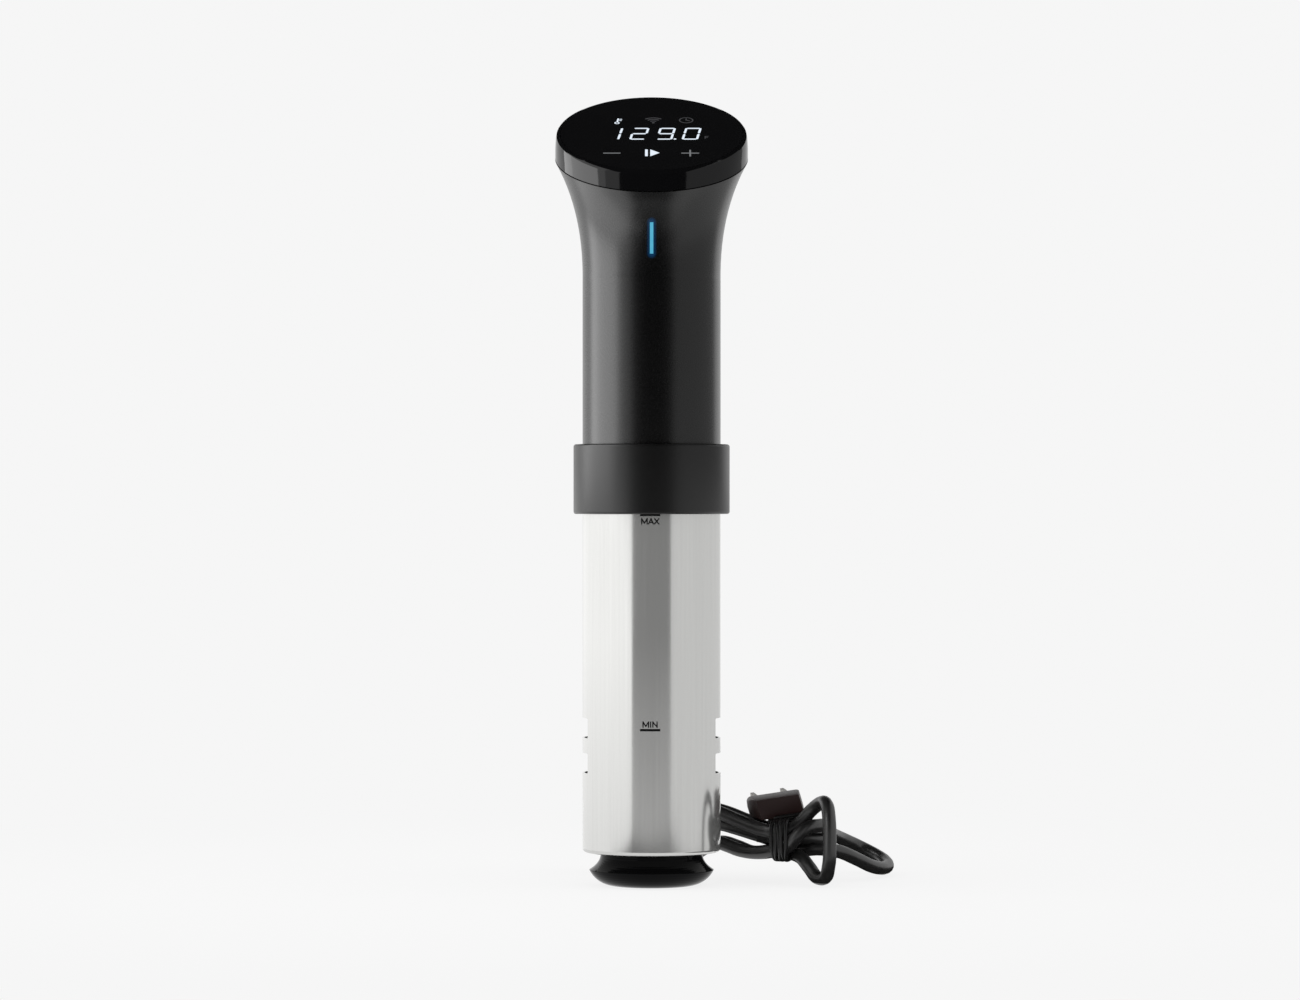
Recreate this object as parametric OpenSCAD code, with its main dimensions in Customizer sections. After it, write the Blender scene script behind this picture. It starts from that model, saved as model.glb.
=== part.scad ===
/* [Body] */
// Outer diameter of the grip and of the steel skirt
body_d = 56.4; // [52:0.2:60]
// Wall of the moulded handle
shell_wall = 2; // [1.6:0.1:2.6]
// Height of the seam between the skirt and the handle
seam_z = 165; // [160:1:168]
// Height where the handle starts to flare
flare_z = 247; // [242:1:252]
// Height of the light bar's lower end
light_z = 256.4; // [254:0.2:260]
// Length of the light bar
light_h = 12.5; // [8:0.5:16]
// Width of the light bar
light_w = 1.5; // [1:0.1:2.4]

/* [Head] */
// Diameter of the bezel's upper rim
rim_d = 78; // [74:0.5:84]
// How much wider the bezel is at its lower edge
rim_swell = 0.8; // [0.4:0.1:1.6]
// Tilt of the display from level
face_tilt = 28; // [20:1:32]
// Height of the display's centre
face_z = 306.7; // [304:0.1:312]
// Tilt of the seam under the bezel
band_tilt = 24.7; // [18:0.1:28]
// Height of that seam on the axis
band_z = 297; // [294:0.5:300]
// Width of the bevel round the glass
rim_bevel = 1.6; // [1:0.1:2.4]
// Thickness of the glass
glass_t = 2.2; // [1.6:0.1:3]

/* [Skirt] */
// Height of the skirt's lower edge
skirt_z = 13.7; // [12:0.1:16]
// Wall of the steel skirt
skirt_wall = 0.8; // [0.6:0.1:1.2]
// Height of an intake slot
slot_h = 8.2; // [6:0.1:10]
// Width of an intake slot
slot_w = 22; // [16:0.5:26]
// Middle height of the lower row of slots
slot_z = 50.2; // [47:0.1:54]
// Step from the lower row of slots to the upper
slot_step = 14.3; // [12:0.1:18]

/* [Foot] */
// Diameter of the flat that the object stands on
foot_flat_d = 30.6; // [26:0.2:34]
// Largest diameter of the foot
foot_d = 50.8; // [46:0.2:54]
// Height of the foot's widest edge
foot_rim_z = 6.3; // [5:0.1:7.5]
// Diameter of the foot's neck
foot_neck_d = 41.6; // [38:0.2:44]
// Wall of the foot
foot_wall = 2.2; // [1.8:0.1:2.8]
// Width of the pump's outlet in the back of the foot
outlet_w = 16; // [10:0.5:20]

/* [Wet end] */
// Diameter of the heater's tube
heater_d = 6.4; // [5:0.1:7]
// Distance between the legs of a hairpin
hairpin_w = 28; // [24:0.5:30]
// Distance from the axis to each hairpin's plane
hairpin_y = 8.2; // [8:0.1:10]
// Height where a hairpin's bend starts
hairpin_z = 53; // [50:1:60]
// Distance from the axis to the temperature probe
probe_y = 17; // [14.5:0.5:20]
// Height of the probe's tip
probe_z = 62; // [50:1:90]
// Distance from the axis to the water level pins
pin_y = 18; // [14.5:0.5:21]
// Height of the low water pin's tip
low_pin_z = 64.6; // [60:0.2:80]
// Height of the second pin's tip
high_pin_z = 84; // [80:1:110]
// Diameter of the drive shaft
shaft_d = 4; // [3:0.1:4.6]
// Outer diameter of the tube round the shaft
shaft_tube_d = 9; // [8:0.1:9.4]
// Diameter of the impeller
impeller_d = 33; // [26:0.5:36]
// Height of the impeller's blades
blade_h = 9; // [6:0.5:10]
// Number of blades
blade_count = 7; // [5:1:9]

/* [Drive] */
// Diameter of the motor
motor_d = 34; // [28:0.5:38]
// Height of the motor
motor_h = 38; // [30:1:42]
// Height of the control board
board_h = 60; // [50:1:62]
// Width of the control board
board_w = 42; // [36:1:44]
// Width of the heat sink
sink_w = 30; // [22:1:34]
// Height of the heat sink
sink_h = 40; // [30:1:44]

/* [Clamp] */
// Height of the clamp ring's lower edge
ring_z = 151.6; // [150:0.2:153]
// Height of the clamp ring
ring_h = 28.4; // [24:0.2:30]
// Thickness of the sleeve inside the clamp ring
liner_t = 1.65; // [1.2:0.05:2.4]
// Wall of the clamp ring
ring_wall = 1.9; // [1.5:0.1:2.4]
// Width of the hook
hook_w = 26; // [20:1:28]
// Clear gap between the hook's legs
hook_gap = 28; // [24:1:32]
// Length of the hook's legs below its bridge
leg_drop = 52; // [46:1:56]
// Diameter of the clamp screw
screw_d = 8; // [6:0.5:10]
// Diameter of the clamp knob
knob_d = 24; // [20:1:26]
// Gap at rest between the jaw and the pressure pad
jaw_gap = 8; // [6:0.5:10]

/* [Cord] */
// Diameter of the cord
cord_d = 5.6; // [5:0.1:7]
// Width of the plug
plug_w = 23; // [20:1:28]
// Distance between the plug's blades
blade_pitch = 12.7; // [12:0.1:13]

/* [Hidden] */
$fn = 96;

slide_gap = 0.3;
run_gap = 0.05;
fit_gap = 0.1;
over = 1;
seam_step = 0.03;
light_seat = 0.6;

body_r = body_d / 2;
bore_r = body_r - shell_wall;
rim_r = rim_d / 2;
band_r = rim_r + rim_swell / 2;
glass_r = rim_r - rim_bevel - 0.15;
bevel_rise = 0.5;
bezel_ledge = 2;
segments = 96;

neck_r = body_r - skirt_wall - 0.2;
neck_z = seam_z - 15;
neck_floor = 4;
neck_rise = 7;
lug_w = 6;
lug_h = 5;
lug_z = seam_z - 7;
seal_z = neck_z + 3.4;
seal_r = 6.95;

probe_r = 1.65;
pin_x = 6;
pin_r = 1.25;
flange_t = 2.5;
flange_r = 23.5;
wet_z = neck_z - flange_t;
tube_low_z = 39;
bearing_h = 8;
impeller_z = skirt_z + 8;
shaft_low_z = impeller_z - 1;

motor_z = seam_z + neck_rise + 3;
bracket_z = motor_z + motor_h;
board_z = bracket_z + 2;
board_t = 1.6;

liner_r = body_r + fit_gap;
liner_out = liner_r + liner_t;
ring_bore = liner_out + run_gap;
ring_r = ring_bore + ring_wall;
inner_leg_y = ring_r - 1;
jaw_y = inner_leg_y + 6.5;
jaw_pad_t = 2;
outer_leg_y = jaw_y + hook_gap;
leg_t = 7;
boss_t = 3;
bridge_t = 12;
hook_top = ring_z + ring_h;
hook_low = hook_top - bridge_t - leg_drop;
screw_z = hook_low + 14;
pad_y = jaw_y + jaw_pad_t + jaw_gap;
pad_t = 4;
knob_y = outer_leg_y + leg_t + boss_t + jaw_gap + slide_gap;
knob_t = 13;

relief_z = 283;
relief_drop = 25;
boss_y = 38;
relief_len = 22;
relief_end = [0, boss_y + relief_len * cos(relief_drop), relief_z
  - (boss_y - body_r + relief_len * cos(relief_drop)) * tan(relief_drop)];

cord_route = [
  relief_end,
  relief_end + 12 * [0, cos(relief_drop), -sin(relief_drop)],
  [-4, 77, 252], [-10, 80, 237], [-16, 77, 219], [-20, 71, 199], [-22.5, 65, 177],
  [-23, 61, 154], [-23, 59, 130], [-23, 58, 105], [-23, 58, 80], [-23, 57.5, 58],
  [-21.5, 56, 38], [-16.5, 52.5, 21], [-6, 46, 10]
];
tail_route = [
  [66, 14.5, 18], [67.2, 19.5, 17.5], [65, 23.2, 19.5], [61, 23.2, 23], [59.4, 22.4, 28]
];
hank_left = [-12, 62];
hank_right = [54, 12];
hank_turn = atan2(hank_right[1] - hank_left[1], hank_right[0] - hank_left[0]);
hank_t = 19;
hank_side = [
  [5, 0], [16, 1.2], [30, 4.5], [52, 10], [76, 10.6], [92, 10.6],
  [92, 24.4], [76, 24.4], [66, 27.2], [52, 31], [28, 36.8], [5, 38.8]
];
left_fold = [5, 19.4];
fan_side = [
  [-12.6, 15], [-4, 8], [8, 3], [17, 2.2], [17, 8], [10, 13], [-4, 20.5], [-10, 22.6],
  [-12.6, 20]
];
tie_z = 17.5;
plug_place = [52, 21, 31.3];
plug_t = 14;
plug_h = 8.4;
plug_turn = 8;
plug_roll = 8;
plug_lift = 5;
plug_lean = 10;
plug_taper = 10.5;

// Radius of the flare at share t of its height
function flare_r(t) = body_r - seam_step + (band_r - body_r + seam_step) * pow(t, 2.25);
function mix(a, b, t) = a + (b - a) * t;
// Circle on the axis, in a plane that leans back by tilt, raised along the plane's normal
function circle_at(r, z, tilt, lift = 0) =
  [for (i = [0:segments - 1]) let (a = i * 360 / segments)
    [r * cos(a), r * sin(a) * cos(tilt) - lift * sin(tilt),
      z + r * sin(a) * sin(tilt) + lift * cos(tilt)]];
// A circle of the flare, drawn in from the outside by inset
function flare_circle(t, inset = 0) =
  circle_at(flare_r(t) - inset, mix(flare_z, band_z, t), band_tilt * t);
// The circle just below the flare, inside the grip's wall
function root_circle(inset = 0) = circle_at(flare_r(0) - inset, flare_z - over / 2, 0);
// A circle of the bezel, at share s of the way from its seam to its rim
function bezel_circle(r, s, lift = 0) =
  circle_at(r, mix(band_z, face_z, s), mix(band_tilt, face_tilt, s), lift);

// Skin through a list of circles; closed joins the last circle to the first
module skin_circles(circles, closed = false) {
  rows = len(circles);
  n = len(circles[0]);
  spans = closed ? rows : rows - 1;
  sides = [
    for (i = [0:spans - 1]) for (j = [0:n - 1])
      let (k = (i + 1) % rows, m = (j + 1) % n)
        [i * n + j, k * n + j, k * n + m, i * n + m]
  ];
  low = [for (j = [0:n - 1]) j];
  high = [for (j = [n - 1:-1:0]) (rows - 1) * n + j];
  points = [for (c = circles) for (p = c) p];
  polyhedron(points, closed ? sides : concat(sides, [low, high]));
}

// Places its children in the plane of the display, at its centre
module on_face() {
  translate([0, 0, face_z]) rotate([face_tilt, 0, 0]) children();
}

// Places its children on the cord's outlet axis, with +Z along the cord
module on_outlet(start) {
  translate([0, body_r, relief_z]) rotate([-90 - relief_drop, 0, 0])
    translate([0, 0, (start - body_r) / cos(relief_drop)]) children();
}

module tube(h, r, bore) {
  difference() {
    cylinder(h = h, r = r);
    translate([0, 0, -over]) cylinder(h = h + 2 * over, r = bore);
  }
}

module rounded_square(w, h, r) {
  translate([-w / 2 + r, -h / 2]) square([w - 2 * r, h]);
  translate([-w / 2, -h / 2 + r]) square([w, h - 2 * r]);
  for (x = [-1, 1], y = [-1, 1])
    translate([x * (w / 2 - r), y * (h / 2 - r)]) circle(r);
}

// ---- head ----

module touch_panel() {
  color([0.07, 0.07, 0.07]) on_face()
    translate([0, 0, bevel_rise - glass_t]) cylinder(h = glass_t, r = glass_r);
}

module bezel_ring() {
  seat = bevel_rise - glass_t;
  color([0.05, 0.05, 0.06]) skin_circles([
    bezel_circle(band_r - 0.5, 0),
    bezel_circle(band_r, 0.06),
    bezel_circle(band_r, 0.45),
    bezel_circle(rim_r + 0.1, 0.86),
    bezel_circle(rim_r - 0.15, 0.96),
    bezel_circle(rim_r - 0.5, 1),
    bezel_circle(rim_r - rim_bevel, 1, bevel_rise),
    bezel_circle(rim_r - rim_bevel, 1, seat),
    bezel_circle(rim_r - rim_bevel - bezel_ledge, 1, seat),
    bezel_circle(rim_r - rim_bevel - bezel_ledge, 1, seat - 2),
    bezel_circle(band_r - shell_wall - 0.4, 0.3),
    bezel_circle(band_r - shell_wall - 0.4, 0)
  ], closed = true);
}

digit_block = [46, 18, 5];
display_drop = bevel_rise - glass_t - digit_block[2];

module digit_module() {
  color([0.12, 0.12, 0.13]) on_face()
    translate([-digit_block[0] / 2, -digit_block[1] / 2, display_drop]) cube(digit_block);
}

module icon_guide() {
  color([0.85, 0.85, 0.82]) on_face() difference() {
    translate([-20, digit_block[1] / 2 + 0.5, display_drop]) cube([40, 9, digit_block[2]]);
    for (x = [-13.8, 0.6, 14.2])
      translate([x, digit_block[1] / 2 + 5, display_drop - over])
        cylinder(h = digit_block[2] + 2 * over, r = 3);
  }
}

module display_board() {
  color([0.1, 0.35, 0.2]) on_face() translate([0, 0, display_drop - board_t])
    cylinder(h = board_t, r = glass_r - 5);
}

// ---- handle ----

module light_slot(gap) {
  translate([-light_w / 2 - gap, -body_r - 6, light_z - gap])
    cube([light_w + 2 * gap, 6 + shell_wall + 1, light_h + 2 * gap]);
}

module flare_solid(inset) {
  skin_circles([for (i = [0:12]) flare_circle(i / 12, inset)]);
}

module handle_shell() {
  outer = [for (i = [1:14]) flare_circle(i / 14)];
  bore_inset = shell_wall - 2 * seam_step;
  inner = [for (i = [7:-1:1]) flare_circle(i / 7, bore_inset)];
  color([0.09, 0.09, 0.09]) difference() {
    union() {
      translate([0, 0, seam_z]) tube(flare_z - seam_z, body_r, bore_r);
      skin_circles(concat([root_circle()], outer, inner, [root_circle(bore_inset)]),
        closed = true);
      on_outlet(body_r + 1.2) cylinder(h = (boss_y - body_r - 1.2) / cos(relief_drop), r = 8);
    }
    on_outlet(body_r - 4) cylinder(h = 30, r = 5);
    light_slot(0);
  }
}

module light_pipe() {
  color([0.5, 0.75, 0.85]) intersection() {
    light_slot(-0.05);
    flare_solid(0.05);
    translate([-5, -body_r - 6, flare_z]) cube([10, 6 + shell_wall + light_seat, 40]);
  }
}

module light_board() {
  t = 1.4;
  low = light_z - 2.4;
  translate([-4, -bore_r + light_seat, low]) {
    color([0.1, 0.35, 0.2]) cube([8, t, light_h + 4.5]);
    color([0.1, 0.1, 0.1]) translate([0, t, 0]) cube([8, 2, 4]);
  }
}

module strain_relief() {
  bead = 2.6;
  color([0.08, 0.08, 0.08]) difference() {
    on_outlet(boss_y) rotate_extrude() polygon([
      [0, -11], [4.9, -11], [4.9, 0], [7, 0], [6.9, 2.4], [6.3, 4],
      [4.3, relief_len - 1], [3.9, relief_len], [0, relief_len]
    ]);
    for (i = [1:5], side = [0, 1])
      on_outlet(boss_y) translate([0, 0, 3.2 + i * bead + side * bead / 2])
        rotate([0, 0, side * 90]) for (x = [-1, 1])
          translate([x * 6.9 - 3, -8, -0.5]) cube([6, 16, 1]);
  }
}

module control_board() {
  color([0.1, 0.35, 0.2]) translate([-board_w / 2, 0, board_z]) cube([board_w, board_t, board_h]);
}

// Capacitor and relay on the lower half of the board, coil and chip on the upper
module board_parts() {
  low = board_z + 4;
  high = board_z + board_h / 2 - 2;
  can_r = 6;
  relay = [board_w / 2 - 5, 12, 18];
  coil = [14, 11, 16];
  chip = [12, 4, 12];
  color([0.15, 0.15, 0.35]) translate([-can_r - 3, -can_r, low]) cylinder(h = 20, r = can_r);
  color([0.2, 0.2, 0.2]) translate([2, -relay[1], low]) cube(relay);
  color([0.75, 0.6, 0.2]) translate([-coil[0] - 4, -coil[1], high]) cube(coil);
  color([0.12, 0.12, 0.12]) translate([2, -chip[1], high]) cube(chip);
}

module heat_sink() {
  fins = 7;
  fin_t = 1.2;
  base_t = 2;
  color([0.7, 0.7, 0.72]) translate([-sink_w / 2, board_t, board_z + 6]) {
    cube([sink_w, base_t, sink_h]);
    for (i = [0:fins - 1]) translate([i * (sink_w - fin_t) / (fins - 1), base_t, 0])
      cube([fin_t, 10, sink_h]);
  }
}

module board_bracket() {
  color([0.2, 0.2, 0.2]) difference() {
    translate([0, 0, bracket_z]) cylinder(h = 2, r = bore_r - fit_gap);
    translate([14, 10, bracket_z - over]) cylinder(h = 2 + 2 * over, r = 5);
    translate([-14, 10, bracket_z - over]) cylinder(h = 2 + 2 * over, r = 5);
  }
}

module motor_can() {
  color([0.6, 0.6, 0.62]) translate([0, 0, motor_z]) difference() {
    rotate_extrude() {
      square([motor_d / 2 - 2, motor_h]);
      square([motor_d / 2, motor_h - 2]);
      translate([motor_d / 2 - 2, motor_h - 2]) circle(2);
    }
    translate([0, 0, -over]) cylinder(h = 8 + over, r = 1.5 + run_gap);
  }
}

module motor_plate() {
  color([0.65, 0.65, 0.66]) translate([0, 0, motor_z - 3]) difference() {
    cylinder(h = 3, r = bore_r - fit_gap);
    translate([0, 0, -over]) cylinder(h = 3 + 2 * over, r = 4);
    for (a = [45:90:315]) rotate([0, 0, a]) translate([11, 0, -over])
      cylinder(h = 3 + 2 * over, r = 1.6);
  }
}

module motor_screws() {
  color([0.75, 0.75, 0.77]) for (a = [45:90:315]) rotate([0, 0, a])
    translate([11, 0, motor_z - 3]) {
      cylinder(h = 3, r = 1.5);
      translate([0, 0, -1.8]) cylinder(h = 1.8, r = 2.8);
    }
}

// ---- rotor ----

coupling_z = seam_z - 5;
coupling_h = 11;

module motor_spindle() {
  color([0.7, 0.7, 0.72]) translate([0, 0, coupling_z + coupling_h - 6])
    cylinder(h = motor_z + 7 - coupling_z - coupling_h + 6, r = 1.5);
}

module shaft_coupling() {
  color([0.85, 0.7, 0.3]) translate([0, 0, coupling_z]) difference() {
    cylinder(h = coupling_h, r = 4.5);
    translate([0, 0, -over]) cylinder(h = 4 + over, d = shaft_d);
    translate([0, 0, coupling_h - 6]) cylinder(h = 6 + over, r = 1.5);
  }
}

module drive_shaft() {
  color([0.75, 0.75, 0.77]) translate([0, 0, shaft_low_z])
    cylinder(h = coupling_z + 4 - shaft_low_z, d = shaft_d);
}

// One blade is the strip between two circles, cut to its radius
module blade() {
  linear_extrude(blade_h) intersection() {
    difference() {
      translate([4, 11]) circle(13);
      translate([4, 11.4]) circle(11.8);
    }
    translate([3, -4]) square([impeller_d, 9]);
    circle(d = impeller_d);
  }
}

module impeller() {
  color([0.15, 0.15, 0.16]) translate([0, 0, impeller_z]) difference() {
    union() {
      cylinder(h = blade_h + 3, r = 4.4);
      translate([0, 0, blade_h]) cylinder(h = 1.4, d = impeller_d);
      for (i = [0:blade_count - 1]) rotate([0, 0, i * 360 / blade_count]) blade();
    }
    translate([0, 0, -over]) cylinder(h = blade_h + 3 + 2 * over, d = shaft_d);
  }
}

// ---- neck and wet end ----

module at_lugs() {
  for (a = [30:120:270]) rotate([0, 0, a]) children();
}

module at_heater_legs() {
  for (x = [-1, 1], y = [-1, 1]) translate([x * hairpin_w / 2, y * hairpin_y, 0]) children();
}

// Holes for the heater's legs, the probe and the level pins
module wet_holes(h) {
  at_heater_legs() cylinder(h = h, d = heater_d + 2 * run_gap);
  translate([0, probe_y, 0]) cylinder(h = h, r = probe_r + run_gap);
  for (x = [-pin_x, pin_x]) translate([x, -pin_y, 0]) cylinder(h = h, r = pin_r + run_gap);
}

module lower_neck() {
  color([0.14, 0.14, 0.14]) difference() {
    union() {
      translate([0, 0, neck_z]) cylinder(h = seam_z - neck_z, r = neck_r);
      translate([0, 0, seam_z]) cylinder(h = neck_rise, r = bore_r - fit_gap);
      at_lugs() translate([neck_r - 1.4, -lug_w / 2, lug_z]) cube([2, lug_w, lug_h]);
    }
    translate([0, 0, neck_z + neck_floor])
      cylinder(h = seam_z + neck_rise - neck_z, r = neck_r - 3.2);
    translate([0, 0, neck_z - over]) cylinder(h = neck_floor + 2 * over, r = seal_r + run_gap);
    translate([0, 0, neck_z - over]) wet_holes(neck_floor + 2 * over);
    translate([0, 0, seal_z]) rotate_extrude() translate([neck_r - 1.7, -1])
      square([3, 2]);
  }
}

module neck_seal() {
  color([0.3, 0.1, 0.08]) translate([0, 0, seal_z]) rotate_extrude()
    translate([neck_r - 0.8, 0]) circle(0.9, $fn = 24);
}

module shaft_seal() {
  color([0.1, 0.1, 0.1]) translate([0, 0, neck_z])
    tube(neck_floor + 2, seal_r, shaft_d / 2 + run_gap);
}

module heater_flange() {
  color([0.72, 0.72, 0.73]) translate([0, 0, wet_z]) difference() {
    cylinder(h = flange_t, r = flange_r);
    translate([0, 0, -over]) cylinder(h = flange_t + 2 * over, d = shaft_tube_d);
    translate([0, 0, -over]) wet_holes(flange_t + 2 * over);
  }
}

module flange_screws() {
  color([0.8, 0.8, 0.82]) for (a = [0, 180]) rotate([0, 0, a])
    translate([20.5, 0, wet_z - 1.6]) cylinder(h = 1.6, r = 2.4);
}

module heater_element() {
  leg_h = neck_z + 8 - hairpin_z;
  color([0.62, 0.6, 0.58]) for (y = [-hairpin_y, hairpin_y]) translate([0, y, hairpin_z]) {
    for (x = [-hairpin_w / 2, hairpin_w / 2]) translate([x, 0, 0])
      cylinder(h = leg_h, d = heater_d);
    rotate([90, 0, 0]) rotate([0, 0, 180]) rotate_extrude(angle = 180)
      translate([hairpin_w / 2, 0]) circle(d = heater_d);
  }
}

module temperature_probe() {
  color([0.7, 0.7, 0.72]) translate([0, probe_y, probe_z]) {
    cylinder(h = neck_z + 7 - probe_z, r = probe_r);
    sphere(probe_r, $fn = 32);
  }
}

module level_pins() {
  color([0.75, 0.75, 0.77]) {
    translate([-pin_x, -pin_y, low_pin_z]) cylinder(h = neck_z + 7 - low_pin_z, r = pin_r);
    translate([pin_x, -pin_y, high_pin_z]) cylinder(h = neck_z + 7 - high_pin_z, r = pin_r);
  }
}

module shaft_tube() {
  color([0.72, 0.72, 0.74]) translate([0, 0, tube_low_z])
    tube(neck_z - tube_low_z, shaft_tube_d / 2, shaft_tube_d / 2 - 0.9);
}

module lower_bearing() {
  color([0.85, 0.83, 0.78]) translate([0, 0, tube_low_z - 1.5]) difference() {
    union() {
      cylinder(h = 1.5, d = shaft_tube_d);
      cylinder(h = bearing_h, r = shaft_tube_d / 2 - 0.9);
    }
    translate([0, 0, -over]) cylinder(h = bearing_h + 2 * over, d = shaft_d + 2 * run_gap);
  }
}

// ---- skirt and foot ----

skirt_lip_r = foot_neck_d / 2 + 0.2;

module slot_row(z) {
  translate([-body_r - over, 0, z]) rotate([90, 0, 90])
    linear_extrude(body_d + 2 * over) rounded_square(slot_w, slot_h, 0.8);
}

module skirt() {
  corner = 1.6;
  color([0.75, 0.75, 0.73]) difference() {
    translate([0, 0, skirt_z]) rotate_extrude() difference() {
      union() {
        translate([skirt_lip_r, 0]) square([body_r - corner - skirt_lip_r, corner]);
        translate([skirt_lip_r, corner])
          square([body_r - skirt_lip_r, seam_z - skirt_z - corner]);
        translate([body_r - corner, corner]) circle(corner);
      }
      translate([0, corner]) square([body_r - skirt_wall, seam_z - skirt_z]);
      translate([0, skirt_wall]) square([body_r - corner, corner]);
      translate([body_r - corner, corner]) circle(corner - skirt_wall);
    }
    slot_row(slot_z);
    slot_row(slot_z + slot_step);
    at_lugs() translate([body_r - 4, -lug_w / 2 - 0.2, lug_z - 0.3]) cube([8, lug_w + 0.4, 20]);
  }
}

foot_top = skirt_z + 4.6;
foot_arc_run = (foot_d - foot_flat_d) / 2;
foot_arc_r = (foot_arc_run * foot_arc_run + foot_rim_z * foot_rim_z) / (2 * foot_rim_z);
foot_arc_turn = asin(foot_arc_run / foot_arc_r);
rim_point = [foot_d / 2, foot_rim_z + 0.2];
waist_point = [foot_neck_d / 2, mix(foot_rim_z, skirt_z, 0.4)];
neck_point = [foot_neck_d / 2, skirt_z - 0.6];

// Half outline of the foot: a rising arc to the rim, then a hollow flare to the neck
foot_outline = concat(
  [[0, 0]],
  [for (i = [0:10]) let (a = foot_arc_turn * i / 10)
    [foot_flat_d / 2 + foot_arc_r * sin(a), foot_arc_r * (1 - cos(a))]],
  [for (i = [0:9]) let (t = i / 9)
    mix(mix(rim_point, waist_point, t), mix(waist_point, neck_point, t), t)],
  [[foot_neck_d / 2, foot_top], [0, foot_top]]
);

module foot_cap() {
  bowl_r = foot_neck_d / 2 - foot_wall;
  floor_z = foot_wall + 0.6;
  color([0.05, 0.05, 0.06]) difference() {
    rotate_extrude() polygon(foot_outline);
    translate([0, 0, floor_z + 4]) cylinder(h = foot_top, r = bowl_r);
    translate([0, 0, floor_z]) cylinder(h = foot_top, r = bowl_r - 4);
    translate([0, 0, floor_z + 4]) rotate_extrude()
      translate([bowl_r - 4, 0]) circle(4);
    translate([-outlet_w / 2, bowl_r - 5, foot_rim_z + 2.4])
      cube([outlet_w, 12, skirt_z - foot_rim_z - 2.8]);
  }
}

module foot_seal() {
  color([0.12, 0.12, 0.12]) translate([0, 0, foot_top]) tube(1, foot_neck_d / 2 - 0.1,
    foot_neck_d / 2 - foot_wall + 0.3);
}

// ---- clamp ----

module clamp_ring() {
  depth = outer_leg_y + leg_t - inner_leg_y;
  color([0.1, 0.1, 0.1]) difference() {
    union() {
      translate([0, 0, ring_z]) rotate_extrude() {
        square([ring_r - 1, ring_h]);
        translate([0, 1]) square([ring_r, ring_h - 2]);
        for (z = [1, ring_h - 1]) translate([ring_r - 1, z]) circle(1);
      }
      rotate([90, 0, 90]) translate([0, 0, -hook_w / 2]) linear_extrude(hook_w)
        hook_outline(depth);
      translate([0, outer_leg_y, screw_z]) rotate([-90, 0, 0])
        cylinder(h = leg_t + boss_t, r = screw_d / 2 + 6);
    }
    translate([0, 0, ring_z - over]) cylinder(h = ring_h + 2 * over, r = ring_bore);
    translate([0, 0, hook_low - over]) cylinder(h = ring_z - hook_low + over, r = body_r + 2);
    translate([0, outer_leg_y - over, screw_z]) rotate([-90, 0, 0])
      cylinder(h = leg_t + boss_t + 2 * over, r = screw_d / 2 + 2);
    for (x = [-1, 1]) translate([x * hook_w / 2, 0, 0]) rotate([90, 0, 90])
      translate([0, 0, -2.5]) linear_extrude(5) hook_pocket(depth);
  }
}

// Side outline of the hook, from the ring over the bridge to the outer leg
module hook_outline(depth) {
  bend = 10;
  translate([inner_leg_y, hook_low + 2]) difference() {
    union() {
      square([depth, hook_top - hook_low - 2 - bend]);
      square([depth - bend, hook_top - hook_low - 2]);
      translate([depth - bend, hook_top - hook_low - 2 - bend]) circle(bend);
      translate([2, -2]) square([jaw_y - inner_leg_y - 4, 2]);
      translate([2, 0]) circle(2);
      translate([jaw_y - inner_leg_y - 2, 0]) circle(2);
      translate([depth - leg_t + 2, -2]) square([leg_t - 4, 2]);
      translate([depth - leg_t + 2, 0]) circle(2);
      translate([depth - 2, 0]) circle(2);
    }
    translate([jaw_y - inner_leg_y, -4]) square([hook_gap, leg_drop + 4 - 2 - 5]);
    translate([jaw_y - inner_leg_y + 5, -4]) square([hook_gap - 10, leg_drop + 2]);
    translate([jaw_y - inner_leg_y + 5, leg_drop - 7]) circle(5);
    translate([outer_leg_y - inner_leg_y - 5, leg_drop - 7]) circle(5);
  }
}

// Weight-saving recess along the bridge and down the outer leg
module hook_pocket(depth) {
  rib = 2.2;
  top = hook_top - rib;
  translate([jaw_y - 1, top - bridge_t + 2 * rib])
    square([outer_leg_y + leg_t - rib - 8 - jaw_y + 1, bridge_t - 2 * rib]);
  translate([outer_leg_y + rib, screw_z + screw_d / 2 + 9])
    square([leg_t - 2 * rib, top - bridge_t + 2 * rib - screw_z - screw_d / 2 - 9]);
  translate([outer_leg_y + leg_t - rib - 8, top - 8]) intersection() {
    circle(8);
    square([8, 8]);
  }
  translate([outer_leg_y + rib, top - bridge_t + 2 * rib])
    square([leg_t - 2 * rib, bridge_t - 2 * rib - 8 + 0.01]);
}

module ring_liner() {
  color([0.2, 0.2, 0.2]) translate([0, 0, ring_z + 0.4]) difference() {
    cylinder(h = ring_h - 0.8, r = liner_out);
    translate([0, 0, -over]) cylinder(h = ring_h + 2 * over, r = liner_r);
    translate([-1.5, -ring_r, -over]) cube([3, ring_r, ring_h + 2 * over]);
  }
}

module jaw_pad() {
  color([0.16, 0.16, 0.17]) translate([0, jaw_y, screw_z]) rotate([-90, 0, 0])
    linear_extrude(jaw_pad_t) rounded_square(hook_w - 4, 22, 2);
}

module screw_nut() {
  color([0.8, 0.65, 0.3]) translate([0, outer_leg_y, screw_z]) rotate([-90, 0, 0])
    tube(leg_t + boss_t, screw_d / 2 + 2, screw_d / 2 + run_gap);
}

module clamp_screw() {
  start = pad_y + 1.4;
  color([0.72, 0.72, 0.74]) translate([0, start, screw_z]) rotate([-90, 0, 0]) {
    cylinder(h = pad_t - 1.4 + 0.2, r = 2.6);
    translate([0, 0, pad_t - 1.2]) cylinder(h = knob_y + 6 - start - pad_t + 1.2, d = screw_d);
  }
}

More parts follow.
